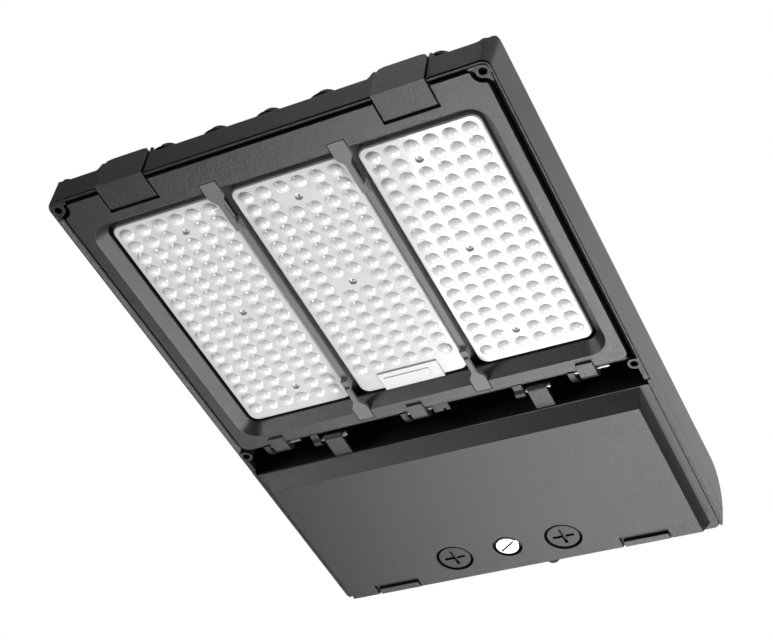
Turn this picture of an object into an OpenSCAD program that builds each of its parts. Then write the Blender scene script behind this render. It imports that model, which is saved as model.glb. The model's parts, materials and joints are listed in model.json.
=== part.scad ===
// Shoebox area light: a finned lamp head with a hinged optics door and a hinged driver cover.
// Millimetres, +Z up, light falls to -Z, +Y points at the pole.
// The origin is the middle of the two mounting bolts on the rear face.
// The modules draw in face coordinates: z = 0 is the door face, y = 0 the front rim.

/* [Body] */
// Width over the rim on the door side
body_w = 360; // [356:1:372]
// Length from the front rim to the mounting face
body_l = 506; // [500:1:530]
// Height of the side walls at the front corners
side_h = 34.5; // [34:0.5:38]
// Height of the roof over the driver compartment
roof_h = 40; // [39:0.5:43]
// Outward lean of the side walls over their height
flare = 2.7; // [1.5:0.1:4]
// Thickness of the housing walls
wall = 2.4; // [2:0.1:2.6]
// Thickness of the housing roof
roof_t = 3; // [2.5:0.1:3.5]
// Height of the front wall between the corners
front_h = 23.8; // [23:0.2:25]

/* [Heat sink] */
// Length of the optics module, front rim to rear face of its cross member
module_l = 294; // [290:0.5:298]
// Underside of the deck that carries the light boards
deck_z = 18.6; // [18.2:0.1:20]
// Thickness of the deck
deck_t = 4; // [3:0.5:5]
// Spacing of the cooling fins
fin_pitch = 9; // [8.5:0.1:9.1]
// Thickness of a cooling fin
fin_t = 2.2; // [1.6:0.1:3]
// Top of the broad ribs
rib_top = 47.5; // [44:0.5:52]

/* [Optics] */
// Width of the frame beside the outer lens plates
side_frame = 26.65; // [26:0.05:28]
// Length of the frame in front of the lens plates
front_frame = 43; // [42:0.5:45]
// Length of the frame behind the lens plates
rear_frame = 25; // [25:0.5:28]
// Open strip between two lens plates
lens_gap = 10.4; // [9.6:0.1:11]
// Spacing of the lens columns
pitch_x = 15; // [14.8:0.1:15.2]
// Spacing of the lens rows
pitch_y = 12.65; // [12.6:0.05:12.8]
// Lens columns on a plate at most
max_cols = 6; // [4:1:6]
// Lens rows on an outer plate at most
max_rows = 17; // [13:1:17]
// Radius of the lens sphere
dome_r = 7.1; // [6.8:0.1:7.3]

/* [Optics door] */
// Thickness of the door plate
door_t = 3; // [2.5:0.1:3.3]
// Depth of the bevel round the window
bevel_h = 10; // [9:0.5:10]
// Width of the bevel round the window
bevel_w = 7.5; // [6:0.5:8]
// Radius of the hinge pins
pin_r = 2.5; // [2:0.1:2.8]
// Width of a hinge hook
hook_w = 13.5; // [11:0.5:15]
// Width of a front latch
latch_w = 40.6; // [36:0.2:42]

/* [Driver cover] */
// Depth of the cover tray below the door face
tray_h = 13.4; // [11:0.2:15]
// Wall thickness of the cover tray
tray_t = 2.5; // [2:0.1:3]
// Width of a rear latch
tab_w = 39.5; // [36:0.5:41]
// Radius of the plug caps at their widest
plug_r = 15.8; // [14:0.2:17]
// Distance of each plug cap from the middle
plug_x = 51.2; // [46:0.2:56]
// Radius of the lock head
lock_r = 10.7; // [9:0.1:12]

/* [Mounting] */
// Spacing of the mounting bolt holes
bolt_gap = 80; // [70:1:90]
// Radius of a mounting bolt hole
bolt_r = 4.5; // [4:0.1:5.5]
// Height of the bolt holes above the door face
mount_h = 20; // [19:0.5:22]
// Thickness of the mounting pad
pad_t = 8; // [6:0.5:10]

/* [Hidden] */
$fn = 64;
run = 0.05;      // running fit of a pin in its bore
clear = 0.3;     // air between parts that do not touch
seat = 0.1;      // air between a seal on a moving part and its land
eps = 0.01;

// ---- body ----
rim_x = body_w / 2;
rim_y = 0.2;
rim_r = 6;
top_r = 12;
front_lean = 1;
rear_r = 6;
lip_h = 1.4;
lip_w = 2;
lip_flat = 1.1;
lip_air = 0.42;
open_x = rim_x - 7.2;
deck_top = deck_z + deck_t;
cross_t = 1.6;
cross_z = 2;
tail_end = module_l + 23;
rim_o = [rim_x, rim_y, body_l, rim_r, rim_r];
boss_h = 12;
boss_r = 5.4;
seat_r = 5.6;
tower_h = 31.5;
front_boss = [rim_x - 6.5, 7.7];
rear_boss = [rim_x - 5.4, module_l + 4];
boss_at = [front_boss, rear_boss];

// ---- screws ----
screw_r = 1.5;
head_r = 2.95;
head_h = 3;
bore_r = head_r + 0.15;
head_z = 4;

// ---- window, door ----
lens_w = (body_w - 2 * side_frame - 2 * lens_gap) / 3;
lens_l = module_l - front_frame - rear_frame;
lens_edge_x = 10.15;
lens_edge_y = 10.2;
cols = min(max_cols, floor((lens_w - 2 * lens_edge_x + eps) / pitch_x) + 1);
rows = min(max_rows, floor((lens_l - 2 * lens_edge_y + eps) / pitch_y) + 1);
pitch_plate = lens_w + lens_gap;
win_x = pitch_plate + lens_w / 2 + 10.15;
lens_y0 = front_frame;
lens_y1 = lens_y0 + lens_l;
win_y0 = lens_y0 - 11.6;
win_y1 = lens_y1 + 9.7;
win_r = 17;
win_o = [win_x, win_y0, win_y1, win_r, win_r];
door_x = rim_x - 7;
door_y0 = 5.5;
door_y1 = module_l - 3.7;
door_o = [door_x, door_y0, door_y1, 3, 6];
door_gap_r = 9;
round_r = 2;
round_side = front_boss[1]
    + sqrt(pow(door_gap_r + round_r, 2) - pow(front_boss[0] - door_x + round_r, 2));
round_front = front_boss[0]
    - sqrt(pow(door_gap_r + round_r, 2) - pow(door_y0 + round_r - front_boss[1], 2));
skirt_t = 2.2;
skirt_z = 9;
funnel_t = 2.4;
flange_in = 2.5;
seal_in = 3;
seal_w = 4;
seal_h = 2.3;
rib_in = seal_in + 0.8;
rib_w = seal_w - 1.6;

// ---- hinges ----
door_axis = [module_l + 2.5, 5.5];
cover_axis = [module_l + 9, 5.5];
hook_at = [42 - rim_x, -8.3, rim_x - 42];
hook_r = 7.5;
lug_w = 5;
lug_gap = 5.25;
lug_r = 16.4;
pin_tail = [10, 3, 10];
arm_at = [88 - rim_x, rim_x - 88];
arm_w = 16;
arm_r = 4.5;
arm_t = 3;
arm_lug = [[arm_at[0] - 18.5, arm_at[0] - 12], [arm_at[1] - 18.5, arm_at[1] - 10.5]];
arm_pin = [[arm_at[0] - 19, arm_at[0] + 12], [arm_at[1] - 19, arm_at[1] + 11]];

// ---- latches ----
latch_x = rim_x - 66;
latch_face = -1.8;
latch_pin = [4, 28];
latch_r = 2.8;
latch_t = 2.6;
latch_y1 = 21;
latch_top = 31;
latch_pin_r = 1.2;
latch_slot = latch_w + 1;
barrel_w = 28;
ear_w = 4.5;
ear_y = 6.1;
ear_z = 30;
slot_y = 1.9;
back_y = 3.9;
back_z0 = 5.4;
back_z1 = 17.4;
tab_x = rim_x - 62.5;
tab_slot = tab_w + 3;
tab_pin = [body_l - 4, 12];
tab_r = 2.6;
tab_pin_r = 1.5;
tab_t = 2.4;
notch_y = body_l - 27;
notch_z = 3 - tray_h;

// ---- optics stack ----
lens_z = 9.8;
sheet_t = 2.5;
skin_t = 2;
lens_top = 16.8;
lens_r = 8;
board_z = 17;
cap_z = lens_z + 0.6;
dome_z = 13.9;
row0 = lens_y0 + lens_edge_y;
pillar_r = 5;
lens_head_r = 2.8;
lens_cbore_r = 3.2;
lens_cbore_z = 14;
box_x0 = -lens_w * 0.283;
box_x1 = lens_w * 0.268;
bar_x = pitch_plate / 2;

// ---- driver side ----
cover_x = rim_x - 2.6;
cover_y0 = module_l + 28.5;
cover_y1 = body_l - 0.3;
cover_t = 2.5;
tray_x0 = rim_x - 9.8;
tray_x1 = rim_x - 14.2;
tray_y0 = cover_y0 + 1;
tray_y1 = body_l - 7.5;
tray_fy0 = cover_y0 + 11;
tray_fy1 = body_l - 14;
bay_y0 = cover_y0 + 3.5;
bay_t = 3;
land_z0 = cover_t + 2 + seat;
land_z1 = 9;
gasket_o = [rim_x - 4.5, bay_y0, body_l - 7.2, 5, 5];
gasket_w = 4;
plug_y = body_l - 42;
lock_y = body_l - 43.7;
plug_face = -tray_h + 0.8;
plug_floor = -7.4;
neck_r = 10.9;
lock_well_r = 13;
lock_floor = -8.4;
lock_shank_r = 5;
receiver_z = 3;
tray_z = 32;
tray_plate = 2;
board2_z = 17;
knob_z = 3.4;
bay_l = body_l - bay_y0;
gear_x = rim_x - 20;
post_x = rim_x - 30;
post_y = [bay_y0 + 12, body_l - bay_l / 3];
driver_z = 10;
driver_box = [42 - rim_x, rim_x - 108, bay_y0 + 0.07 * bay_l, bay_y0 + 0.43 * bay_l];
side_gear = [rim_x - 88, rim_x - 40];
gland_x = 16;
gland_z = mount_h;
gland_r = 8;
gland_nut = 10.5;
spot_t = 1.2;
pad_x = 60;

// ---------------- helpers ----------------
module at_face() translate([0, -body_l, -mount_h]) children();
module both() {
    children();
    mirror([1, 0, 0]) children();
}
module box(x0, x1, y0, y1, z0, z1) translate([x0, y0, z0]) cube([x1 - x0, y1 - y0, z1 - z0]);
module along_x(x0, x1) translate([x0, 0, 0]) rotate([90, 0, 90]) linear_extrude(x1 - x0) children();
module along_y(y0, y1) translate([0, y1, 0]) rotate([90, 0, 0]) linear_extrude(y1 - y0) children();
module rod(x0, x1, axis, r) translate([x0, axis[0], axis[1]]) rotate([0, 90, 0]) cylinder(h = x1 - x0, r = r);
module post(p, z0, z1, r) translate([p[0], p[1], z0]) cylinder(h = z1 - z0, r = r);

// A panel outline o = [half width, front y, rear y, front radius, rear radius],
// drawn in by a at height z0 and by b at height z1.
module slab(o, z0, z1, a = 0, b = 0) {
    mid = (o[1] + o[2]) / 2;
    along_y(o[1] + o[3], o[2] - o[4])
        polygon([[a - o[0], z0], [o[0] - a, z0], [o[0] - b, z1], [b - o[0], z1]]);
    along_x(o[3] - o[0], o[0] - o[3]) polygon([[o[1] + a, z0], [mid, z0], [mid, z1], [o[1] + b, z1]]);
    along_x(o[4] - o[0], o[0] - o[4]) polygon([[mid, z0], [o[2] - a, z0], [o[2] - b, z1], [mid, z1]]);
    both() {
        translate([o[0] - o[3], o[1] + o[3], z0]) cylinder(h = z1 - z0, r1 = o[3] - a, r2 = o[3] - b);
        translate([o[0] - o[4], o[2] - o[4], z0]) cylinder(h = z1 - z0, r1 = o[4] - a, r2 = o[4] - b);
    }
}
module ring(o, z0, z1, a, b) difference() {
    slab(o, z0, z1, a, a);
    slab(o, z0 - 1, z1 + 1, b, b);
}
// A sharp-cornered tray body from outline p = [half x, front y, rear y] at z0 to q at z1.
module hopper(p, q, z0, z1) intersection() {
    along_y(p[1] - 20, p[2] + 20) polygon([[-p[0], z0], [p[0], z0], [q[0], z1], [-q[0], z1]]);
    along_x(-p[0] - 20, p[0] + 20) polygon([[p[1], z0], [p[2], z0], [q[2], z1], [q[1], z1]]);
}

// ---------------- housing ----------------
// Half width and front edge of the outer skin at a height
function skin_x(z) = rim_x + clear + flare * z / side_h;
function skin_y(z) = -clear - front_lean * z / side_h;
arch_r = roof_h - 4;
function arch_y(z) = body_l - arch_r + sqrt(arch_r * arch_r - (z - 4) * (z - 4));

module disc(x, y, z, r) translate([x, y, z]) cylinder(h = eps, r = r, $fn = 32);

// The outer skin, or with t and top the hollow inside it
module skin(t, top, z0) hull() for (s = [-1, 1]) {
    disc(s * (skin_x(z0) - rim_r), skin_y(z0) + rim_r, z0, rim_r - t);
    disc(s * (skin_x(side_h) - top_r), skin_y(side_h) + top_r, side_h - top, top_r - t);
    disc(s * (skin_x(z0) - rear_r), body_l - rear_r, z0, rear_r - t);
    for (a = [0 : 15 : 90]) {
        y = body_l - arch_r + (arch_r - top) * cos(a);
        z = 4 + (arch_r - top) * sin(a);
        disc(s * (skin_x(z) - rear_r), min(y, body_l - t) - rear_r + t, z, rear_r - t);
    }
}

// The front wall dips between the corners: a hollow curve, then a rounded crest
crest_r = 4;
dip_end = 70;
dip_r = (side_h - front_h - crest_r * (1 - cos(dip_end))) / (1 - cos(dip_end));
dip_x = rim_x - dip_r * sin(dip_end);
crest_x = rim_x + crest_r * sin(dip_end);
dip = concat([for (a = [0 : 10 : dip_end]) [dip_x + dip_r * sin(a), front_h + dip_r * (1 - cos(a))]],
    [for (a = [dip_end - 14 : -14 : 0]) [crest_x - crest_r * sin(a), side_h - crest_r * (1 - cos(a))]]);
n_dip = len(dip) - 1;
module front_opening() {
    along_y(-10, 5) polygon(concat(dip, [[dip[n_dip][0], 60], [-dip[n_dip][0], 60]],
        [for (i = [n_dip : -1 : 0]) [-dip[i][0], dip[i][1]]]));
    box(0.6 - rim_x, rim_x - 0.6, 4, 14, front_h, 60);
}

module latch_recess(grow, y0, z1) box(tab_x - tab_slot / 2 - grow, tab_x + tab_slot / 2 + grow,
    y0, body_l + 10, -1, z1);

module housing() color("#2c2e31") at_face() difference() {
    union() {
        difference() {
            skin(0, 0, 0);
            skin(wall, roof_t, -1);
            // opening over the fins
            box(-open_x, open_x, 13, module_l - 5, side_h - roof_t - 4, roof_h + 5);
            front_opening();
        }
        // seats for the heat sink
        intersection() {
            both() {
                post(front_boss, boss_h, tower_h, seat_r);
                post(rear_boss, boss_h, side_h - 4, seat_r);
            }
            slab(rim_o, boss_h, tower_h, -1.3, -1.3);
        }
        // ears on the front wall, turned in behind each latch to hold its pin
        both() translate([latch_x, 0, 0]) both() {
            along_y(skin_y(front_h), ear_y) polygon([[latch_slot / 2, deck_top + clear],
                [latch_slot / 2 + ear_w + 2, deck_top + clear], [latch_slot / 2 + ear_w, front_h + 1],
                [latch_slot / 2 + 2, ear_z], [latch_slot / 2, ear_z]]);
            box(barrel_w / 2 + clear, latch_slot / 2 + eps, slot_y + eps, ear_y,
                2 * latch_pin[1] - ear_z, ear_z);
        }
        // wall behind each front latch
        both() box(latch_x - latch_slot / 2 - 3, latch_x + latch_slot / 2 + 3, 0.4, back_y, back_z0, back_z1);
        // driver compartment: front wall, sealing land, latch boxes
        box(1 - rim_x, rim_x - 1, bay_y0, bay_y0 + bay_t, land_z0, side_h + 2);
        difference() {
            box(1 - rim_x, rim_x - 1, bay_y0, body_l - 1.5, land_z0, land_z1);
            slab(gasket_o, 0, land_z1 + 1, gasket_w + 0.5, gasket_w + 0.5);
        }
        both() {
            box(tab_x - tab_slot / 2 - 2, tab_x + tab_slot / 2 + 2, body_l - 9.2, body_l - 1.5, land_z0, 12);
            box(tab_x - tab_slot / 2 - 2, tab_x + tab_slot / 2 + 2, body_l - 9.2, arch_y(19) - 0.4, 12, 19);
        }
        // mounting pad and its sides
        box(-pad_x, pad_x, body_l - 26, body_l, land_z0, mount_h + 17);
        // bosses for the gear tray
        both() for (y = post_y) post([post_x, y], tray_z + tray_plate, roof_h - 2, 5);
    }
    // the pad is hollow behind its plate
    box(-pad_x + 5, pad_x - 5, body_l - 40, body_l - pad_t, land_z1, mount_h + 12);
    both() translate([bolt_gap / 2, body_l + 1, mount_h]) rotate([90, 0, 0])
        cylinder(h = pad_t + 2, r = bolt_r);
    translate([gland_x, body_l + 1, gland_z]) rotate([90, 0, 0]) {
        cylinder(h = pad_t + 2, r = gland_r + run);
        cylinder(h = 1 + spot_t, r = gland_nut + 1);
    }
    // room for the rim of the heat sink, and for the cover flange
    box(-rim_x - 10, rim_x + 10, -10, tail_end + 1, -1, lip_h + clear);
    intersection() {
        slab(rim_o, lip_h, lip_h + lip_w, -lip_air, lip_w - lip_air);
        box(-rim_x - 10, rim_x + 10, -10, tail_end + 1, 0, 10);
    }
    box(-cover_x - 0.4, cover_x + 0.4, tail_end - 5, body_l + 5, -1, cover_t + clear);
    box(-cover_x - 0.4, cover_x + 0.4, tail_end - 5, bay_y0, -1, land_z1);
    // slots for the latches and their pins
    both() {
        box(latch_x - latch_slot / 2, latch_x + latch_slot / 2, -10, slot_y, -1, 45);
        rod(latch_x - latch_w, latch_x + latch_w, latch_pin, latch_pin_r + run);
        latch_recess(0, body_l - 7, 16.5);
        rod(tab_x - tab_slot / 2 - 1.6, tab_x + tab_slot / 2 + 1.6, tab_pin, tab_pin_r + run);
        post(front_boss, boss_h - 1, front_h - 1, screw_r + run);
        post(rear_boss, boss_h - 1, front_h - 1, screw_r + run);
        for (y = post_y) post([post_x, y], tray_z, side_h + 1.5, 2 + run);
        // fine groove along the side
        along_y(bay_y0 + 1, body_l + 5) polygon([[skin_x(12) - 0.8, 12], [skin_x(12) + 1, 11.4],
            [skin_x(12) + 1, 12.6]]);
    }
}

// ---------------- heat sink ----------------
module sink_outer() {
    slab(rim_o, 0, lip_h);
    slab(rim_o, lip_h, lip_h + lip_w, 0, lip_w);
    slab(rim_o, lip_h + lip_w, deck_top, lip_w, lip_w);
}
module sink_hollow() {
    slab(rim_o, 0, 2 * lip_w - lip_flat, lip_flat, 2 * lip_w);
    intersection() {
        slab(rim_o, 2 * lip_w - lip_flat, deck_z, 2 * lip_w, 2 * lip_w);
        box(-rim_x, rim_x, 0, module_l - cross_t, 0, deck_z);
    }
}
// Fillets between a corner boss and the two sides of the rim
module boss_fillet(r) {
    dx = lip_w * 2 + r - (rim_x - front_boss[0]);
    dy = sqrt(pow(boss_r + r, 2) - dx * dx);
    ey = lip_w * 2 + r + rim_y - front_boss[1];
    ex = sqrt(pow(boss_r + r, 2) - ey * ey);
    difference() {
        union() {
            box(front_boss[0] - dx * boss_r / (boss_r + r), rim_x - lip_w, front_boss[1], front_boss[1] + dy,
                0, boss_h);
            box(front_boss[0] - ex, front_boss[0], rim_y + lip_w, front_boss[1] + ey * boss_r / (boss_r + r),
                0, boss_h);
        }
        post([front_boss[0] - dx, front_boss[1] + dy], -1, boss_h + 1, r);
        post([front_boss[0] - ex, front_boss[1] + ey], -1, boss_h + 1, r);
    }
}
// Round lug profile in the y-z plane, down from the deck
module door_lug() {
    intersection() {
        translate([door_axis[0], deck_z - 1.1]) circle(lug_r);
        translate([door_axis[0], deck_z - 1.1 - lug_r]) square([lug_r, lug_r]);
    }
    translate([module_l - 1, deck_z - 1.1 - lug_r]) square([door_axis[0] - module_l + 1, lug_r]);
    translate([module_l - 1, deck_z - 1.2])
        square([door_axis[0] - module_l + 1 + lug_r, deck_top - deck_z + 1.2]);
}
module arm_lug_shape() {
    translate(cover_axis) circle(arm_r + 1);
    translate([module_l - 1, cross_z]) square([cover_axis[0] - module_l + 1, 9]);
    polygon([[module_l - 1, 9], [cover_axis[0] + 4, 9], [module_l + 2, deck_z], [module_l - 1, deck_z]]);
}
function short_fin(j) = abs(j % 5) == 2 || abs(j % 5) == 3;
n_fin = floor((open_x - clear - fin_t / 2) / fin_pitch);
nose_y = 18;
nose_r = 10.3;
nose_top = rib_top - 2;

module heat_sink() color("#303235") at_face() difference() {
    union() {
        difference() {
            intersection() {
                sink_outer();
                box(-rim_x, rim_x, 0, module_l, 0, deck_top);
            }
            difference() {
                sink_hollow();
                both() {
                    post(front_boss, -1, boss_h, boss_r);
                    boss_fillet(4);
                    post(rear_boss, -1, boss_h, boss_r);
                }
                // rib that presses on the door seal
                ring(win_o, bevel_h + seal_h + seat, deck_z + 1, rib_in, rib_in + rib_w);
            }
        }
        // rear bosses and the tails of the rim
        intersection() {
            sink_outer();
            both() {
                post(rear_boss, 0, boss_h, boss_r);
                box(rim_x - 4, rim_x, module_l - 1, tail_end, 0, 3);
            }
        }
        for (h = hook_at) along_x(h - hook_w / 2 - lug_gap - lug_w, h - hook_w / 2 - lug_gap) door_lug();
        for (l = arm_lug) along_x(l[0], l[1]) arm_lug_shape();
        for (x = [28 - rim_x, -40.5, 52.5, rim_x - 28]) along_x(x - 1.5, x + 1.5)
            polygon([[module_l - 1, 10], [module_l + 14, deck_z + 1], [module_l + 14, deck_top],
                [module_l - 1, deck_top]]);
        difference() {
            box(2, 16, module_l - 1, module_l + 9, 4, 6.5);
            box(10, 12.5, module_l + 6.5, module_l + 10, 3, 7);
        }
        // cooling fins, tall in threes under the broad ribs
        for (j = [-n_fin : n_fin]) box(j * fin_pitch - fin_t / 2, j * fin_pitch + fin_t / 2,
            short_fin(j) ? 16 : 24, module_l - 6, deck_top - 1,
            short_fin(j) ? rib_top - 9.5 : (j % 5 == 0 ? rib_top : rib_top - 3.4));
        // rounded noses of the broad ribs
        for (k = [-3 : 3]) translate([k * 5 * fin_pitch, nose_y, 0]) {
            translate([0, 0, deck_top - 1]) cylinder(h = nose_top - deck_top, r = nose_r);
            translate([0, 0, nose_top - 10]) cylinder(h = 4, r1 = nose_r + 4, r2 = nose_r);
            translate([0, 0, nose_top - 1]) cylinder(h = 1, r1 = nose_r, r2 = nose_r - 1);
        }
    }
    // housing bosses pass the deck; screws from below
    both() {
        post(front_boss, boss_h, rib_top, seat_r + clear);
        post(rear_boss, boss_h, rib_top, seat_r + clear);
        for (p = boss_at) {
            post(p, -1, boss_h + 1, screw_r + run);
            post(p, -1, head_z + head_h, bore_r);
        }
        box(latch_x - latch_slot / 2 - 0.5, latch_x + latch_slot / 2 + 0.5, -1, 6, -1, 5);
        box(latch_x - latch_slot / 2 - 3.4, latch_x + latch_slot / 2 + 3.4, -1, 6,
            back_z0 - 0.4, back_z1 + 0.4);
    }
    for (h = hook_at) {
        box(h - hook_w / 2 - 0.8, h + hook_w / 2 + 0.8, module_l - cross_t - 1, module_l + 1,
            -1, door_axis[1] + hook_r + 1.5);
        rod(h - hook_w / 2 - lug_gap - lug_w - 1, h - hook_w / 2 - lug_gap + 1, door_axis, pin_r + run);
    }
    for (l = arm_lug) rod(l[0] - 1, l[1] + 1, cover_axis, pin_r + run);
    lens_screw_at() post([0, 0], deck_z - 1, deck_top + 2, screw_r + run);
}

module housing_screws() color("#1b1c1e") at_face() both() for (p = boss_at) difference() {
    union() {
        post(p, head_z, head_z + head_h, head_r);
        post(p, head_z + head_h, front_h - 2, screw_r);
    }
    translate([p[0], p[1], head_z - 1]) cylinder(h = 2.6, r = 1.6, $fn = 6);
}

// ---------------- light boards and lens plates ----------------
function plate_o() = [lens_w / 2, lens_y0, lens_y1, lens_r, lens_r];
function lens_x(i) = (i - (cols - 1) / 2) * pitch_x;
function lens_row(j) = row0 + j * pitch_y;
screw_rows = [1, floor(rows / 2), rows - 2];
// kind: -1 left, 0 center, 1 right; the screws take the place of lenses
function screw_col(kind) = kind == 0 ? (cols - 1) / 2 : (kind < 0 ? cols / 2 : cols / 2 - 1);
function plate_rows(kind) = kind == 0 ? rows - 1 : rows;
function screw_row(kind, j) = j == screw_rows[0] || j == screw_rows[1] || (kind != 0 && j == screw_rows[2]);
function has_lens(kind, i, j) = !(screw_row(kind, j) && abs(i - screw_col(kind)) < 0.6);
function screw_list(kind) = [for (j = [0 : (kind == 0 ? 1 : 2)])
    [lens_x(screw_col(kind)), lens_row(screw_rows[j])]];
module lens_screw_at() for (kind = [-1 : 1]) for (p = screw_list(kind))
    translate([p[0] + kind * pitch_plate, p[1], 0]) children();

module led_board(kind) at_face() translate([kind * pitch_plate, 0, 0]) {
    difference() {
        slab(plate_o(), board_z, deck_z, skin_t + 0.5, skin_t + 0.5);
        for (p = screw_list(kind)) post(p, board_z - 1, deck_z + 1, pillar_r + clear);
    }
    for (i = [0 : cols - 1]) for (j = [0 : plate_rows(kind) - 1]) if (has_lens(kind, i, j))
        translate([lens_x(i) - 1.5, lens_row(j) - 1.5, board_z - 0.8]) cube([3, 3, 1]);
}
module led_board_left() color("#d8dade") led_board(-1);
module led_board_center() color("#d8dade") led_board(0);
module led_board_right() color("#d8dade") led_board(1);

module lens_gasket(kind) at_face() translate([kind * pitch_plate, 0, 0])
    ring(plate_o(), lens_top, deck_z, 0.3, skin_t);
module lens_gasket_left() color("#26272a") lens_gasket(-1);
module lens_gasket_center() color("#26272a") lens_gasket(0);
module lens_gasket_right() color("#26272a") lens_gasket(1);

module dome() intersection() {
    translate([0, 0, dome_z]) sphere(dome_r);
    translate([0, 0, lens_z - 4]) cylinder(h = cap_z - lens_z + 4, r = dome_r - 0.7);
}

module lens_plate(kind) at_face() translate([kind * pitch_plate, 0, 0]) difference() {
    union() {
        slab(plate_o(), lens_z, lens_z + 1, 1, 0);
        slab(plate_o(), lens_z + 1, lens_z + sheet_t);
        ring(plate_o(), lens_z + sheet_t, lens_top, 0, skin_t);
        for (p = screw_list(kind)) post(p, lens_z + sheet_t, deck_z, pillar_r);
        for (i = [0 : cols - 1]) for (j = [0 : plate_rows(kind) - 1]) if (has_lens(kind, i, j))
            translate([lens_x(i), lens_row(j), 0]) dome();
        // moulded cover over the board connector
        if (kind == 0) {
            box(box_x0, box_x1, lens_y1 - 17, lens_y1 + 1, lens_z - 1.3, lens_z + 2);
            box(box_x0 + 4, box_x1 - 9, lens_y1 - 12, lens_y1 - 4, lens_z - 1.9, lens_z + 1);
        }
    }
    for (p = screw_list(kind)) {
        post(p, lens_z - 5, lens_cbore_z, lens_cbore_r);
        post(p, lens_z, deck_z + 1, screw_r + run);
    }
}
module lens_plate_left() color("#e9ebec") lens_plate(-1);
module lens_plate_center() color("#e9ebec") lens_plate(0);
module lens_plate_right() color("#e9ebec") lens_plate(1);

module lens_screws() color("#8d9094") at_face() lens_screw_at() difference() {
    union() {
        post([0, 0], lens_cbore_z - 2.2, lens_cbore_z, lens_head_r);
        post([0, 0], lens_cbore_z, deck_top + 1.5, screw_r);
    }
    translate([0, 0, lens_cbore_z - 3]) cylinder(h = 2, r = 1.2, $fn = 6);
}

// ---------------- optics door ----------------
module door_notch() {
    post(front_boss, -1, skirt_z + 1, door_gap_r);
    box(door_x - round_r, door_x + 5, 0, round_side, -1, skirt_z + 1);
    box(round_front, rim_x, 0, door_y0 + round_r, -1, skirt_z + 1);
}
module door_round(z0, z1, r) {
    post([door_x - round_r, round_side], z0, z1, r);
    post([round_front, door_y0 + round_r], z0, z1, r);
}
module bar_pocket(z0, z1, grow) {
    box(bar_x - 7.35 - grow, bar_x + 7.35 + grow, win_y0 - 7 - grow, win_y0 + 4, z0, z1);
    box(bar_x - 7.35 - grow, bar_x + 7.35 + grow, win_y1 - 4, win_y1 + 9.5 + grow, z0, z1);
}

module optics_door() color("#2c2e31") at_face() difference() {
    union() {
        difference() {
            union() {
                slab(door_o, 0, door_t);
                ring(door_o, door_t - eps, skirt_z, 0, skirt_t);
            }
            both() door_notch();
        }
        both() {
            door_round(0, door_t, round_r);
            // skirt round the corner notch
            intersection() {
                difference() {
                    post(front_boss, 0, skirt_z, door_gap_r + skirt_t);
                    post(front_boss, -1, skirt_z + 1, door_gap_r);
                }
                box(round_front, door_x - 0.6, door_y0 + 0.4, round_side, 0, skirt_z);
            }
        }
        slab(win_o, 0, bevel_h, -funnel_t, bevel_w - funnel_t);
        slab(win_o, bevel_h - 2, bevel_h, flange_in, flange_in);
        both() {
            bar_pocket(0, door_t + 2, 1.6);
            // lips under the front latches
            box(latch_x - latch_slot / 2, latch_x + latch_slot / 2, 16, win_y0 - 2, door_t, door_t + 2.5);
        }
        for (h = hook_at) {
            rod(h - hook_w / 2, h + hook_w / 2, door_axis, hook_r);
            box(h - hook_w / 2, h + hook_w / 2, door_y1 - 6.3, door_axis[0], door_axis[1] - hook_r, door_t);
        }
    }
    slab(win_o, 0, bevel_h, 0, bevel_w);
    both() {
        bar_pocket(-1, door_t, 0);
        for (y = [win_y0 - 3.5, win_y1 + 5]) post([bar_x, y], 0, 8, 2 + run);
        box(latch_x - latch_slot / 2 - 1, latch_x + latch_slot / 2 + 1, 0, 24, -1, door_t);
    }
    for (h = hook_at) {
        rod(h - hook_w, h + hook_w, door_axis, pin_r + run);
        // root of the hook clears the door side of the cross member
        box(h - hook_w / 2 - 1, h + hook_w / 2 + 1, door_y1 - 2, door_axis[0] - hook_r - 0.5,
            door_t + 0.01, skirt_z + 1);
    }
}

function ease(t) = (1 - cos(180 * t)) / 2;
spade_w = 13.2;
neck_w = 4;
module bar_end(y0, dir, wide, taper, neck) {
    pts = [for (i = [0 : 10]) [neck_w / 2 + (spade_w - neck_w) / 2 * (1 - ease(i / 10)),
        y0 + dir * (wide + taper * i / 10)]];
    polygon(concat([[spade_w / 2, y0]], pts, [[neck_w / 2, y0 + dir * neck], [-neck_w / 2, y0 + dir * neck]],
        [for (i = [10 : -1 : 0]) [-pts[i][0], pts[i][1]]], [[-spade_w / 2, y0]]));
}
module lens_clamp_bar(side) at_face() translate([side * bar_x, 0, 0]) {
    y0 = win_y0 - 6.4;
    y1 = win_y1 + 8.9;
    linear_extrude(door_t) bar_end(y0, 1, 12.5, 10, 42);
    linear_extrude(door_t) bar_end(y1, -1, 12.5, 10, 36);
    box(-3, 3, y0 + 41, y0 + 49, 2, 9);
    box(-3, 3, y1 - 43, y1 - 35, 2, 9);
    box(-2.5, 2.5, y0 + 40, y1 - 36, 6.5, 9);
    post([0, win_y0 - 3.5], door_t - 1, door_t + 3, 2);
    post([0, win_y1 + 5], door_t - 1, door_t + 3, 2);
}
module lens_clamp_bar_left() color("#2f3134") lens_clamp_bar(-1);
module lens_clamp_bar_right() color("#2f3134") lens_clamp_bar(1);

module door_gasket() color("#1a1b1c") at_face()
    ring(win_o, bevel_h, bevel_h + seal_h, seal_in, seal_in + seal_w);

module door_hinge_pins() color("#9a9da1") at_face() for (i = [0 : 2])
    rod(hook_at[i] - hook_w / 2 - lug_gap - lug_w, hook_at[i] + hook_w / 2 + pin_tail[i], door_axis, pin_r);

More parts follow.
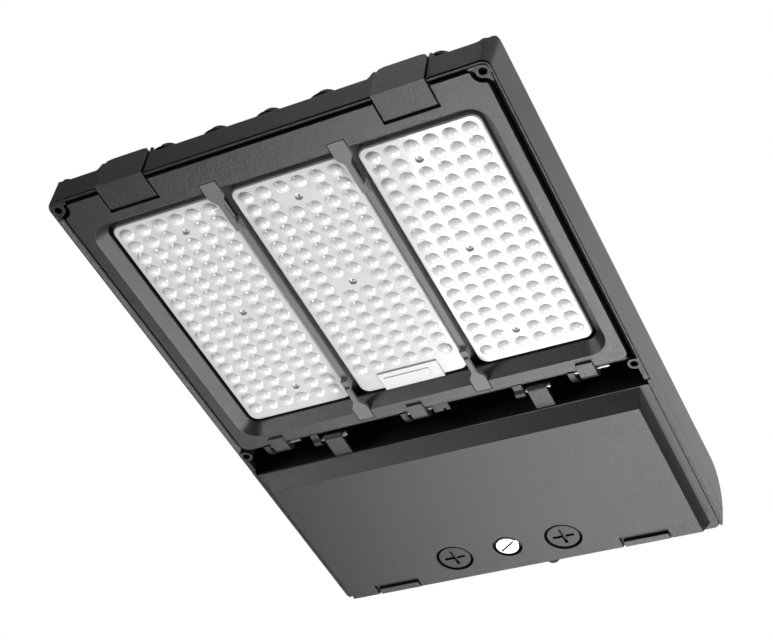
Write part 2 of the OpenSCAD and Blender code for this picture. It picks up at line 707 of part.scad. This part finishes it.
// ---------------- front latches ----------------
module front_latch(side) at_face() translate([side * latch_x, 0, 0]) difference() {
    union() {
        box(-latch_w / 2, latch_w / 2, latch_face, latch_y1, 0, latch_t);
        along_y(latch_face, latch_face + latch_t) polygon([[-latch_w / 2, 0], [latch_w / 2, 0],
            [latch_w / 2, latch_top - 5], [latch_w / 2 - 2.5, latch_top - 1],
            [latch_w / 2 - 6.5, latch_top], [6.5 - latch_w / 2, latch_top],
            [2.5 - latch_w / 2, latch_top - 1], [-latch_w / 2, latch_top - 5]]);
        // barrel and its web
        rod(-barrel_w / 2, barrel_w / 2, latch_pin, latch_r);
        box(-barrel_w / 2, barrel_w / 2, latch_face, latch_pin[0],
            latch_pin[1] - latch_r, latch_pin[1] + latch_r);
    }
    rod(-latch_w, latch_w, latch_pin, latch_pin_r + run);
}
module front_latch_left() color("#2c2e31") front_latch(-1);
module front_latch_right() color("#2c2e31") front_latch(1);
module front_latch_pins() color("#9a9da1") at_face()
    for (s = [-1, 1])
        rod(s * latch_x - latch_slot / 2 - 2, s * latch_x + latch_slot / 2 + 2, latch_pin, latch_pin_r);

// ---------------- driver cover ----------------
tray_p = [tray_x1, tray_fy0, tray_fy1];
tray_q = [tray_x0, tray_y0, tray_y1];
module cover_outline() difference() {
    slab([cover_x, cover_y0, cover_y1, 1.5, rear_r], 0, cover_t);
    both() box(tab_x - tab_slot / 2, tab_x + tab_slot / 2, tray_y1 + 1.3, body_l + 5, -1, cover_t + 1);
}
module driver_cover() color("#2c2e31") at_face() difference() {
    union() {
        cover_outline();
        difference() {
            hopper(tray_p, tray_q, -tray_h, eps);
            difference() {
                hopper([tray_x1 - tray_t, tray_fy0 + tray_t, tray_fy1 - tray_t],
                    [tray_x0 - tray_t, tray_y0 + tray_t + 0.5, tray_y1 - tray_t], -tray_h + tray_t, 1);
                // catch ledges over the rear latch notches
                both()
                    box(tab_x - tab_slot / 2 - 3, tab_x + tab_slot / 2 + 3, notch_y - 2, body_l, -tray_h, -8);
                for (s = [-1, 1]) post([s * plug_x, plug_y], -tray_h, -5, plug_r + 3.2);
                post([0, lock_y], -tray_h, -5, lock_well_r + 2.5);
            }
        }
        for (a = arm_at) {
            rod(a - arm_w / 2, a + arm_w / 2, cover_axis, arm_r);
            box(a - arm_w / 2, a + arm_w / 2, cover_axis[0], cover_y0 + 2, 1, 1 + arm_t);
        }
    }
    slab([tray_x0 - tray_t, tray_y0 + 3, tray_y1 - tray_t, 2, 2], -eps, cover_t + 1);
    both() along_x(tab_x - tab_slot / 2 - 0.5, tab_x + tab_slot / 2 + 0.5)
        polygon([[notch_y, -tray_h - 1], [body_l, -tray_h - 1], [body_l, -6.2], [tray_fy1 + 3.6, -6.2],
            [tray_fy1 - 0.5, notch_z], [notch_y, notch_z]]);
    for (a = arm_at) rod(a - arm_w, a + arm_w, cover_axis, pin_r + run);
    for (s = [-1, 1]) {
        post([s * plug_x, plug_y], -tray_h - 1, plug_floor, plug_r + 0.7);
        post([s * plug_x, plug_y], -tray_h, 0, neck_r + run);
    }
    post([0, lock_y], -tray_h - 1, lock_floor, lock_well_r);
    post([0, lock_y], -tray_h, 0, lock_shank_r + run);
}

module cover_gasket() color("#1a1b1c") at_face()
    ring([gasket_o[0], gasket_o[1], gasket_o[2], 5, 5], cover_t, land_z0 - seat, 0, gasket_w);
module cover_hinge_pins() color("#9a9da1") at_face() for (p = arm_pin) rod(p[0], p[1], cover_axis, pin_r);

module plug_cap(side) at_face() translate([side * plug_x, plug_y, 0]) difference() {
    union() {
        translate([0, 0, plug_face]) cylinder(h = 3, r1 = plug_r - 1.9, r2 = plug_r);
        post([0, 0], plug_face + 3, plug_floor - 0.5, plug_r);
        post([0, 0], plug_floor - 0.6, 1, neck_r);
    }
    post([0, 0], plug_floor + 1, 2, neck_r - 2);
    translate([-9.5, -1.4, plug_face - 1]) cube([19, 2.8, 3.5]);
    translate([-1.4, -9, plug_face - 1]) cube([2.8, 18, 3.5]);
}
module plug_cap_left() color("#232426") plug_cap(-1);
module plug_cap_right() color("#232426") plug_cap(1);
module plug_seal(side) at_face() translate([side * plug_x, plug_y, 0]) difference() {
    post([0, 0], plug_floor - 0.5, plug_floor - run, neck_r + 3);
    post([0, 0], plug_floor - 1, plug_floor + 1, neck_r);
}
module plug_seal_left() color("#161718") plug_seal(-1);
module plug_seal_right() color("#161718") plug_seal(1);

module cover_lock() color("#c9ccd0") at_face() translate([0, lock_y, 0]) difference() {
    union() {
        translate([0, 0, -tray_h + 0.4]) cylinder(h = 0.8, r1 = lock_r - 0.8, r2 = lock_r);
        post([0, 0], -tray_h + 1.2, lock_floor, lock_r);
        post([0, 0], lock_floor, receiver_z + 5.5, lock_shank_r);
        box(-2.5, 2.5, -7.5, 7.5, receiver_z + 2.4, receiver_z + 5);
    }
    rotate([0, 0, -34]) translate([-lock_r + 1.5, -0.9, -tray_h - 1]) cube([2 * lock_r - 3, 1.8, 2.6]);
}
module lock_receiver() color("#a3a6aa") at_face() difference() {
    union() {
        box(-19, 19, lock_y - 7, lock_y + 7, receiver_z, receiver_z + 2);
        for (s = [-1, 1]) box(s * 18 - 1, s * 18 + 1, lock_y - 7, lock_y + 7, receiver_z, tray_z);
    }
    post([0, lock_y], receiver_z - 1, receiver_z + 3, lock_shank_r + 0.6);
    box(-8.5, 8.5, lock_y - 3.2, lock_y + 3.2, receiver_z - 1, receiver_z + 3);
}

// ---------------- rear latches ----------------
module rear_latch(side) at_face() translate([side * tab_x, 0, 0]) difference() {
    along_x(-tab_w / 2, tab_w / 2) {
        polygon([[notch_y + 7, 0.2 - tray_h], [tray_fy1 + 0.6, 0.2 - tray_h], [tab_pin[0] + 2.3, -0.4],
            [tab_pin[0] + 2.3, tab_pin[1]], [tab_pin[0] - 0.4, tab_pin[1]], [tab_pin[0] - 0.4, 0.2],
            [tray_fy1, tab_t + 0.2 - tray_h], [notch_y + 7, tab_t + 0.2 - tray_h]]);
        translate(tab_pin) circle(tab_r);
    }
    rod(-tab_w, tab_w, tab_pin, tab_pin_r + run);
}
module rear_latch_left() color("#2c2e31") rear_latch(-1);
module rear_latch_right() color("#2c2e31") rear_latch(1);
module rear_latch_pins() color("#9a9da1") at_face()
    for (s = [-1, 1])
        rod(s * tab_x - tab_slot / 2 - 1.5, s * tab_x + tab_slot / 2 + 1.5, tab_pin, tab_pin_r);

// ---------------- gear inside the driver compartment ----------------
module gear_tray() color("#b5b8bb") at_face() difference() {
    union() {
        box(-gear_x, gear_x, bay_y0 + 5, post_y[1] + 14, tray_z, tray_z + tray_plate);
        box(-90, 90, post_y[1] + 8, body_l - 28, tray_z, tray_z + tray_plate);
        for (x = [-68, 68]) for (y = [plug_y - 13, plug_y + 11]) post([x, y], board2_z + 1.6, tray_z + 1, 3);
    }
    for (x = [-post_x, post_x]) for (y = post_y) post([x, y], tray_z - 1, tray_z + 4, 2.2);
}
module gear_tray_screws() color("#8d9094") at_face()
    for (x = [-post_x, post_x]) for (y = post_y) difference() {
        union() {
            post([x, y], tray_z - 2.4, tray_z, 4);
            post([x, y], tray_z, side_h + 1.2, 2);
        }
        translate([x, y, tray_z - 3]) cylinder(h = 1.8, r = 1.6, $fn = 6);
    }
module led_driver() color("#c4c6c8") at_face() {
    box(driver_box[0], driver_box[1], driver_box[2], driver_box[3], driver_z, tray_z);
    box(driver_box[0] - 7, driver_box[1] + 7, driver_box[2] + 6, driver_box[3] - 6, tray_z - 1.5, tray_z);
    for (x = [driver_box[0] + 12, driver_box[1] - 12]) post([x, (driver_box[2] + driver_box[3]) / 2],
        driver_z - 1.5, driver_z + 1, 5);
}
module surge_protector() color("#b3362b") at_face() {
    box(side_gear[0], side_gear[1], bay_y0 + 0.11 * bay_l, bay_y0 + 0.3 * bay_l, 12, tray_z);
    box(side_gear[0] - 4, side_gear[1] + 4, bay_y0 + 0.17 * bay_l, bay_y0 + 0.24 * bay_l, tray_z - 2, tray_z);
}
module terminal_block() color("#e4e2da") at_face() difference() {
    box(side_gear[0] - 4, side_gear[1], body_l - 0.43 * bay_l, body_l - 0.31 * bay_l, 18, tray_z);
    for (i = [0 : 3])
        post([side_gear[0] + 2 + (side_gear[1] - side_gear[0] - 4) * i / 3, body_l - 0.37 * bay_l],
            17, 22, 3);
}
module selector_board() color("#2d6a45") at_face() {
    difference() {
        box(-74, 74, plug_y - 18, plug_y + 15, board2_z, board2_z + 1.6);
        box(-23, 23, plug_y - 20, plug_y + 8, board2_z - 1, board2_z + 3);
    }
    for (s = [-1, 1]) translate([s * plug_x, plug_y, 0]) {
        box(-9, 9, -9, 9, board2_z - 6, board2_z + eps);
        post([0, 0], 5.5, board2_z, 3);
    }
}
module selector_knob(side) at_face() translate([side * plug_x, plug_y, 0]) difference() {
    post([0, 0], knob_z, board2_z - 6.4, 8);
    post([0, 0], 5, board2_z, 3 + run);
    translate([-5.5, -0.8, knob_z - 1]) cube([11, 1.6, 2]);
    translate([0, -6.6, knob_z - 1]) cylinder(h = 1.6, r = 0.8);
}
module selector_knob_left() color("#d9dadc") selector_knob(-1);
module selector_knob_right() color("#d9dadc") selector_knob(1);

module cable_gland() color("#1f2022") at_face() translate([gland_x, body_l, gland_z]) rotate([-90, 0, 0])
    difference() {
        union() {
            translate([0, 0, -pad_t - 4]) cylinder(h = pad_t + 5, r = gland_r);
            translate([0, 0, -spot_t]) cylinder(h = 5.5, r = gland_nut, $fn = 6);
            translate([0, 0, 4]) cylinder(h = 9, r = 9);
            translate([0, 0, 13]) cylinder(h = 9, r1 = 9, r2 = 6);
            translate([0, 0, -pad_t - 4.5]) cylinder(h = 4.5, r = gland_nut, $fn = 6);
        }
        translate([0, 0, -pad_t - 6]) cylinder(h = pad_t + 40, r = 4.5);
    }

housing();
heat_sink();
housing_screws();
led_board_left();
led_board_center();
led_board_right();
lens_gasket_left();
lens_gasket_center();
lens_gasket_right();
lens_plate_left();
lens_plate_center();
lens_plate_right();
lens_screws();
optics_door();
lens_clamp_bar_left();
lens_clamp_bar_right();
door_gasket();
door_hinge_pins();
front_latch_left();
front_latch_right();
front_latch_pins();
driver_cover();
cover_gasket();
cover_hinge_pins();
plug_cap_left();
plug_cap_right();
plug_seal_left();
plug_seal_right();
cover_lock();
lock_receiver();
rear_latch_left();
rear_latch_right();
rear_latch_pins();
gear_tray();
gear_tray_screws();
led_driver();
surge_protector();
terminal_block();
selector_board();
selector_knob_left();
selector_knob_right();
cable_gland();
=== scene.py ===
import json
import bpy
from mathutils import Matrix, Vector

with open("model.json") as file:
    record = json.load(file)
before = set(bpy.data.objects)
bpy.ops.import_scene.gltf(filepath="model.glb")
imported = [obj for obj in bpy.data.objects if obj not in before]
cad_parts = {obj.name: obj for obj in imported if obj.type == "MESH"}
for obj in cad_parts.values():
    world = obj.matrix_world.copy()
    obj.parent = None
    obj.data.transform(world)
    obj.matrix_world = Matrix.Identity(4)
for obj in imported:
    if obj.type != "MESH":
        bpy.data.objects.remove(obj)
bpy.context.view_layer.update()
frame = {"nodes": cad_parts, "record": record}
NODES = frame["nodes"]


# ---------------------------------------------------------------- node helpers
class Mat:
    """A small builder for one procedural material."""

    def __init__(self, name):
        self.m = bpy.data.materials.new(name)
        self.m.use_nodes = True
        self.t = self.m.node_tree
        self.t.nodes.clear()
        self.out = self.t.nodes.new("ShaderNodeOutputMaterial")
        self.bsdf = self.t.nodes.new("ShaderNodeBsdfPrincipled")
        self.t.links.new(self.bsdf.outputs[0], self.out.inputs["Surface"])
        self.coord = self.t.nodes.new("ShaderNodeTexCoord")
        self.pos = self.coord.outputs["Object"]

    def put(self, socket, value):
        """Links a socket, or sets a plain value or colour."""
        if isinstance(value, bpy.types.NodeSocket):
            self.t.links.new(value, socket)
        elif isinstance(value, (tuple, list)) and len(value) == 3 and socket.type == "RGBA":
            socket.default_value = (*value, 1.0)
        else:
            socket.default_value = value

    def set(self, **kw):
        """Sets shader inputs by name, with _ for a space."""
        for k, v in kw.items():
            self.put(self.bsdf.inputs[k.replace("_", " ")], v)
        return self

    def noise(self, scale, detail=3.0, rough=0.55, stretch=None):
        n = self.t.nodes.new("ShaderNodeTexNoise")
        n.inputs["Scale"].default_value = scale
        n.inputs["Detail"].default_value = detail
        n.inputs["Roughness"].default_value = rough
        src = self.pos
        if stretch:
            mp = self.t.nodes.new("ShaderNodeMapping")
            mp.inputs["Scale"].default_value = stretch
            self.put(mp.inputs["Vector"], src)
            src = mp.outputs[0]
        self.put(n.inputs["Vector"], src)
        return n.outputs["Fac"]

    def voronoi(self, scale):
        n = self.t.nodes.new("ShaderNodeTexVoronoi")
        n.inputs["Scale"].default_value = scale
        self.put(n.inputs["Vector"], self.pos)
        return n.outputs["Distance"]

    def ramp(self, fac, a, b, low=0.0, high=1.0):
        """Maps fac from a..b to low..high."""
        n = self.t.nodes.new("ShaderNodeMapRange")
        self.put(n.inputs["Value"], fac)
        for k, v in (("From Min", a), ("From Max", b), ("To Min", low), ("To Max", high)):
            n.inputs[k].default_value = v
        return n.outputs["Result"]

    def mix(self, fac, c1, c2):
        n = self.t.nodes.new("ShaderNodeMix")
        n.data_type = "RGBA"
        # the colour sockets of a Mix node: 6 and 7 in, 2 out
        self.put(n.inputs[0], fac)
        self.put(n.inputs[6], c1)
        self.put(n.inputs[7], c2)
        return n.outputs[2]

    def math(self, op, a, b=0.0):
        n = self.t.nodes.new("ShaderNodeMath")
        n.operation = op
        self.put(n.inputs[0], a)
        self.put(n.inputs[1], b)
        return n.outputs[0]

    def axis(self, k):
        n = self.t.nodes.new("ShaderNodeSeparateXYZ")
        self.put(n.inputs[0], self.pos)
        return n.outputs[k]

    def edge(self, radius):
        """(0 on flats to 1 on edges, the rounded normal) from the Bevel node."""
        bev = self.t.nodes.new("ShaderNodeBevel")
        bev.samples = 4
        bev.inputs["Radius"].default_value = radius
        geo = self.t.nodes.new("ShaderNodeNewGeometry")
        dot = self.t.nodes.new("ShaderNodeVectorMath")
        dot.operation = "DOT_PRODUCT"
        self.put(dot.inputs[0], bev.outputs[0])
        self.put(dot.inputs[1], geo.outputs["Normal"])
        return self.ramp(dot.outputs["Value"], 0.995, 0.85), bev.outputs[0]

    def open_air(self, reach):
        """0 in tight corners and gaps to 1 in the open."""
        n = self.t.nodes.new("ShaderNodeAmbientOcclusion")
        n.samples = 6
        n.inputs["Distance"].default_value = reach
        return n.outputs["AO"]

    def leaning(self, way):
        """How far the surface leans towards a direction of the object, -1 to 1."""
        n = self.t.nodes.new("ShaderNodeVectorMath")
        n.operation = "DOT_PRODUCT"
        self.put(n.inputs[0], self.coord.outputs["Normal"])
        n.inputs[1].default_value = way
        return n.outputs["Value"]

    def bump(self, height, strength, distance, normal=None):
        n = self.t.nodes.new("ShaderNodeBump")
        n.inputs["Strength"].default_value = strength
        n.inputs["Distance"].default_value = distance
        self.put(n.inputs["Height"], height)
        if normal is not None:
            self.put(n.inputs["Normal"], normal)
        return n.outputs[0]


def grey(v, tint=(1.0, 1.0, 1.0)):
    return tuple(v * t for t in tint)


COOL = (0.98, 1.0, 1.03)


def powder(name, level, gloss=0.5):
    """Textured charcoal powder coat on die-cast aluminium."""
    edge_r, grain, rough, speck = 0.0006, 1000, (0.26, 0.38), 0.5
    m = Mat(name)
    broad = m.noise(9, 3)
    fine = m.noise(grain, 3, 0.7)
    pebble = m.voronoi(grain * 1.3)
    edge_wear_and_highlight, normal = m.edge(edge_r)
    open_air = m.open_air(0.025)
    col = m.mix(m.ramp(broad, 0.3, 0.7), grey(level * 0.9, COOL), grey(level * 1.1, COOL))
    col = m.mix(m.math("MULTIPLY", m.ramp(fine, 0.45, 0.7), speck), col, grey(level * 2.6, COOL))
    # lighter edges: partly rubbed wear, partly a painted highlight along the rounded edges
    col = m.mix(m.math("MULTIPLY", edge_wear_and_highlight, 0.5), col, grey(level * 4.0, COOL))
    # painted shade: the coat darkens to a quarter of its level in corners, gaps and crevices
    col = m.mix(m.ramp(open_air, 0.15, 0.75), grey(level * 0.25, COOL), col)
    rough_here = m.math("ADD", m.ramp(fine, 0.3, 0.7, *rough),
                        m.ramp(open_air, 0.35, 0.95, 0.12, 0.0))
    height = m.math("ADD", fine, m.math("MULTIPLY", pebble, 0.8))
    orange_peel = m.bump(m.noise(grain * 0.33, 2, 0.6), 0.8, 0.00018, normal)
    return m.set(Base_Color=col, Roughness=rough_here, Specular_IOR_Level=gloss,
                 Normal=m.bump(height, 0.75, 0.00022, orange_peel)).m


def moulded(name, level, tint=(1, 1, 1), rough=(0.4, 0.55), crevice_shade=0.0):
    """Injection-moulded plastic or rubber with a fine spark-eroded grain."""
    m = Mat(name)
    fine = m.noise(1800, 3, 0.6)
    cloudy = m.noise(25, 2)
    edge_wear_and_highlight, normal = m.edge(0.0004)
    col = m.mix(m.ramp(cloudy, 0.3, 0.7), grey(level * 0.92, tint), grey(level * 1.08, tint))
    # lighter edges: partly rubbed wear, partly a painted highlight along the rounded edges
    col = m.mix(m.math("MULTIPLY", edge_wear_and_highlight, 0.4), col, grey(min(1.0, level * 1.8), tint))
    # painted shade: with crevice_shade set, the colour darkens towards black in tight recesses
    if crevice_shade:
        col = m.mix(m.ramp(m.open_air(0.005), 0.35, 0.75, crevice_shade, 0.0), col, (0.0, 0.0, 0.0))
    return m.set(Base_Color=col, Roughness=m.ramp(fine, 0.3, 0.7, *rough),
                 Normal=m.bump(fine, 0.15, 0.0001, normal)).m


def metal(name, level, tint=(1, 1, 1), rough=(0.25, 0.4), stretch=(40, 1, 40), slot_z=None):
    """Bare or plated metal with drawn or brushed streaks; painted shade above slot_z, dark and
    not metallic, down in a slot.
    """
    m = Mat(name)
    streak = m.noise(60, 4, 0.65, stretch)
    spots = m.noise(700, 2)
    normal = m.edge(0.0003)[1]
    col = m.mix(m.ramp(streak, 0.3, 0.7), grey(level * 0.86, tint), grey(level, tint))
    col = m.mix(m.math("MULTIPLY", m.ramp(spots, 0.6, 0.8), 0.25), col, grey(level * 0.6, tint))
    clear_of_slot_shade = 1.0
    # painted shade: surfaces above slot_z, inside the lock's slot, turn near black and lose their
    # metal
    if slot_z:
        clear_of_slot_shade = m.ramp(m.axis(2), slot_z, slot_z - 0.0003)
        col = m.mix(clear_of_slot_shade, grey(0.012), col)
    return m.set(Base_Color=col, Metallic=clear_of_slot_shade, Roughness=m.ramp(streak, 0.3, 0.7, *rough),
                 Normal=m.bump(streak, 0.08, 0.00005, normal)).m


SHEET_Z = -0.0102  # the outer face of the lens sheets
STEP = 0.0001


def lens_material():
    """Clear moulded lens sheet and domes over a white board, with painted glints, a painted
    highlight crescent, painted shade on one side, and a painted dark foot and rim on each dome.
    """
    m = Mat("lens_sheet")
    ripple = m.noise(160, 2)
    haze = m.noise(45, 3)
    glint_noise = m.noise(1100, 2, 0.7)
    normal = m.edge(0.0004)[1]
    dome = m.ramp(m.axis(2), SHEET_Z + STEP, SHEET_Z - STEP)
    dome_foot_shade = m.math("MULTIPLY", dome, m.ramp(m.axis(2), SHEET_Z - 8 * STEP, SHEET_Z - STEP))
    dome_rim_shade = m.math("MULTIPLY", dome, m.ramp(m.leaning((0.0, 0.0, -1.0)), 0.62, 0.42))
    shade = m.math("MULTIPLY", dome, m.ramp(m.leaning((0.60, -0.80, 0.0)), 0.25, 0.60))
    col = m.mix(m.ramp(haze, 0.3, 0.7), (0.70, 0.705, 0.71), (0.76, 0.765, 0.77))
    # painted glints: lighter noisy patches on the domes
    bright = m.math("MULTIPLY", dome, m.ramp(glint_noise, 0.35, 0.65, 0.2, 0.8))
    col = m.mix(bright, col, (0.95, 0.95, 0.95))
    broken_shade = m.math("MULTIPLY", shade, m.ramp(glint_noise, 0.3, 0.6, 1.0, 0.4))
    col = m.mix(broken_shade, col, (0.70, 0.70, 0.71))
    # painted highlight: a white crescent on the -x side of each dome
    highlight_crescent = m.math("MULTIPLY", dome, m.ramp(m.leaning((-0.97, 0.22, 0.0)), 0.22, 0.42))
    col = m.mix(highlight_crescent, col, (1.0, 1.0, 1.0))
    # painted shade: a dark ring at each dome's foot and a dark rim where its side turns steep
    col = m.mix(m.math("MULTIPLY", dome_foot_shade, 0.5), col, (0.40, 0.40, 0.41))
    col = m.mix(m.math("MULTIPLY", dome_rim_shade, 0.9), col, (0.40, 0.40, 0.41))
    rough = m.math("ADD", m.ramp(ripple, 0.3, 0.7, 0.05, 0.10), m.ramp(dome, 0.0, 1.0, 0.22, 0.0))
    return m.set(Base_Color=col, Roughness=rough,
                 IOR=1.49, Transmission_Weight=0.15, Coat_Weight=0.5, Coat_Roughness=0.05,
                 Normal=m.bump(ripple, 0.04, 0.0002, normal)).m


def pale_screw():
    """Zinc screw heads under the clear sheet, softened by its haze."""
    m = Mat("lens_screw_zinc")
    streak = m.noise(900, 3)
    normal = m.edge(0.0003)[1]
    col = m.mix(m.ramp(streak, 0.3, 0.7), (0.66, 0.66, 0.67), (0.80, 0.80, 0.81))
    return m.set(Base_Color=col,
                 Metallic=0.25, Roughness=m.ramp(streak, 0.3, 0.7, 0.5, 0.65),
                 Normal=m.bump(streak, 0.1, 0.00005, normal)).m


DIE = 0.009  # grey level of the powder coat
LOCK_SLOT_Z = -0.0320
MATS = {
    "die_cast": powder("powder_body", DIE),
    "die_cast_sink": powder("powder_sink", DIE * 0.95),
    "die_cast_door": powder("powder_door", DIE * 1.5, gloss=0.68),
    "die_cast_cover": powder("powder_cover", DIE * 1.3, gloss=0.52),
    "latch": powder("powder_latch", DIE * 1.2, gloss=0.62),
    "clamp_bar": moulded("bar_plastic", 0.12, (1, 1, 1.01)),
    "black_screw": metal("black_oxide", 0.06, rough=(0.3, 0.45)),
    "steel_pin": metal("pin_steel", 0.35, stretch=(1, 40, 40)),
    "zinc": metal("zinc_plate", 0.62, (1, 1, 1.02)),
    "bright_lock": metal("bright_chrome", 0.6, rough=(0.08, 0.16), stretch=(1, 1, 1),
                         slot_z=LOCK_SLOT_Z),
    "lens": lens_material(),
    "board_white": moulded("board_mask", 0.75, rough=(0.35, 0.5)),
    "board_green": moulded("board_green_mask", 0.25, (0.3, 1.0, 0.5)),
    "seal": moulded("silicone_seal", 0.018, rough=(0.5, 0.65)),
    # painted shade in the plug's slots and recesses
    "plug": moulded("plug_plastic", 0.008, rough=(0.38, 0.5), crevice_shade=1.0),
    "driver_case": moulded("driver_paint", 0.55),
    "surge_case": moulded("surge_plastic", 0.45, (1.0, 0.18, 0.12)),
    "terminal": moulded("terminal_plastic", 0.7, (1, 0.98, 0.92)),
    "knob": moulded("knob_plastic", 0.75),
    "gland": moulded("gland_nylon", 0.02),
}
slot_of = {part["node"]: part["material_slot"] for part in frame["record"]["subparts"]}
screw_look = pale_screw()
for node, obj in NODES.items():
    mat = screw_look if node == "lens_screws" else MATS[slot_of[node]]
    if not obj.data.materials:
        obj.data.materials.append(mat)
    for slot in obj.material_slots:
        slot.material = mat

# ---------------------------------------------------------------- stage
scene = bpy.context.scene


def area(name, at, to, size, power):
    """A rectangular lamp at one point, turned to another."""
    data = bpy.data.lights.new(name, "AREA")
    data.shape = "RECTANGLE"
    data.size, data.size_y = size
    data.energy = power
    o = bpy.data.objects.new(name, data)
    o.location = at
    o.rotation_euler = (Vector(to) - Vector(at)).to_track_quat("-Z", "Y").to_euler()
    scene.collection.objects.link(o)


middle = Vector((0.0, -0.25, 0.0))
# name, direction from the middle, distance m, size m, power W
for name, way, far, size, power in (
        ("under_rear", (-0.08, 0.47, -0.87), 2.05, (1.0, 1.9), 54),
        ("key_right", (0.72, 0.48, -0.54), 1.7, (0.6, 0.6), 24),
        ("front_left", (-0.69, -0.65, -0.31), 1.8, (0.4, 0.4), 11),
        ("top_rear", (0.36, 0.68, 0.64), 1.35, (0.8, 0.8), 2.6),
        ("front_top", (-0.35, -0.62, 0.70), 2.0, (1.4, 1.4), 1.3),
        ("top_soft", (0.0, 0.05, 1.0), 2.1, (2.2, 2.2), 22)):
    area(name, middle + Vector(way).normalized() * far, middle, size, power)

# white behind the object, a weak even light on it
SOFT_LIGHT = 0.09
world = bpy.data.worlds.new("studio")
scene.world = world
world.use_nodes = True
wt = world.node_tree
wt.nodes.clear()
wout = wt.nodes.new("ShaderNodeOutputWorld")
seen = wt.nodes.new("ShaderNodeBackground")
seen.inputs[0].default_value = (1, 1, 1, 1)
soft = wt.nodes.new("ShaderNodeBackground")
soft.inputs[0].default_value = (1, 1, 1, 1)
soft.inputs[1].default_value = SOFT_LIGHT
path = wt.nodes.new("ShaderNodeLightPath")
pick = wt.nodes.new("ShaderNodeMixShader")
wt.links.new(path.outputs["Is Camera Ray"], pick.inputs[0])
wt.links.new(soft.outputs[0], pick.inputs[1])
wt.links.new(seen.outputs[0], pick.inputs[2])
wt.links.new(pick.outputs[0], wout.inputs[0])

FLOOR_SIZE, FLOOR_Z = 9, -1.9
bpy.ops.mesh.primitive_plane_add(size=FLOOR_SIZE, location=(0, 0, FLOOR_Z))
floor = bpy.context.object
floor.name = "floor"
fm = Mat("floor_paper")
paper = fm.mix(fm.ramp(fm.noise(3), 0.3, 0.7), (0.82, 0.82, 0.82), (0.86, 0.86, 0.86))
camera_ray = fm.t.nodes.new("ShaderNodeLightPath").outputs["Is Camera Ray"]
fm.set(Base_Color=paper, Roughness=0.9,
       Emission_Color=(0.6, 0.6, 0.6), Emission_Strength=camera_ray)
floor.data.materials.append(fm.m)

# ---------------------------------------------------------------- camera
CAMERA_AT = (0.47175, -1.01398, -0.87607)
cam_data = bpy.data.cameras.new("camera")
cam_data.sensor_fit = "HORIZONTAL"
cam_data.sensor_width = 36.0
cam_data.lens = 72.26
cam_data.clip_start = 0.05
camera = bpy.data.objects.new("camera", cam_data)
scene.collection.objects.link(camera)
right = (0.89180813, 0.43538462, 0.1229573)
up = (0.23941317, -0.68477912, 0.68830146)
back = (0.38387445, -0.58439524, -0.71492839)
turn = Matrix((right, up, back)).transposed().to_4x4()
camera.matrix_world = Matrix.Translation(CAMERA_AT) @ turn
scene.camera = camera

scene.view_settings.view_transform = "Standard"
